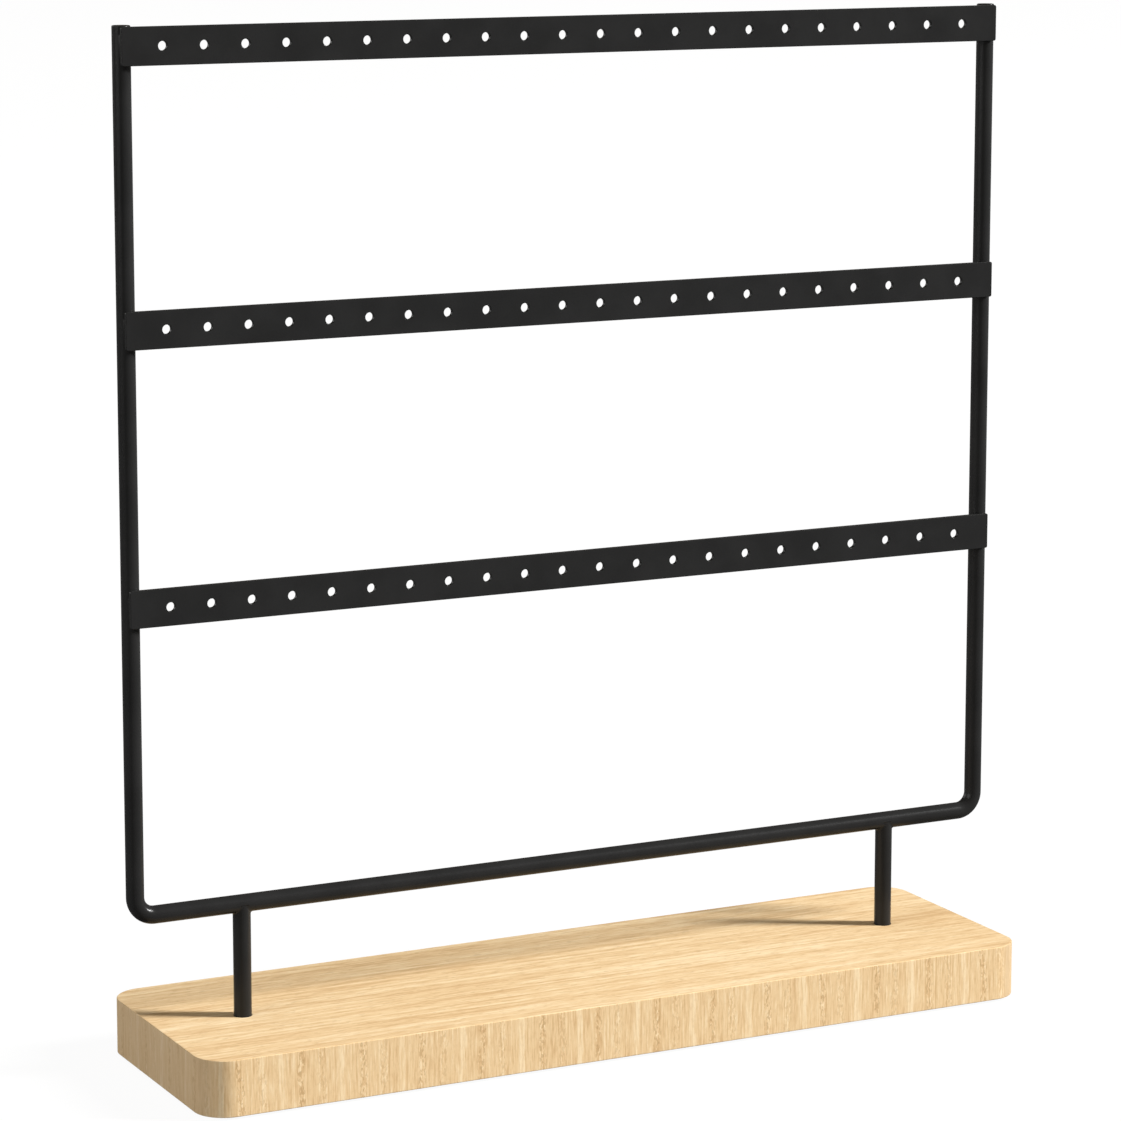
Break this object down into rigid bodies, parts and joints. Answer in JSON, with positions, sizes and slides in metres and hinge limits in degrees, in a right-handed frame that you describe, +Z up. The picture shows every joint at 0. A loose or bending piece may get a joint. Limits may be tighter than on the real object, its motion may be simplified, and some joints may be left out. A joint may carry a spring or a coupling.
{
  "type": "earring display stand",
  "caption": "Upright earring stand: a black bent-rod frame with perforated flat strips for hooks, on two posts in a rounded wooden board.",
  "frame": {"origin": "on the surface the stand rests on, under the middle of the board", "axes": "+X to the right along the board and the strips, +Y from the front to the back, +Z up; the strips are on the front of the frame, at -Y"},
  "size_m": [0.301, 0.082, 0.3192],
  "materials": {
    "black_coat": "satin black powder coat",
    "board_wood": "pale wood with fine straight grain, sanded and clear oiled",
    "zinc": "bright zinc plate",
    "pad": "matte soft anti-slip foam"
  },
  "bodies": {
    "root": {"base_board": "board_wood", "frame_rod": "black_coat", "top_strip": "black_coat", "middle_strip": "black_coat", "bottom_strip": "black_coat", "left_post": "black_coat", "right_post": "black_coat", "left_screw": "zinc", "right_screw": "zinc", "left_washer": "zinc", "right_washer": "zinc", "front_left_pad": "pad", "front_right_pad": "pad", "back_left_pad": "pad", "back_right_pad": "pad"}
  },
  "joints": []
}
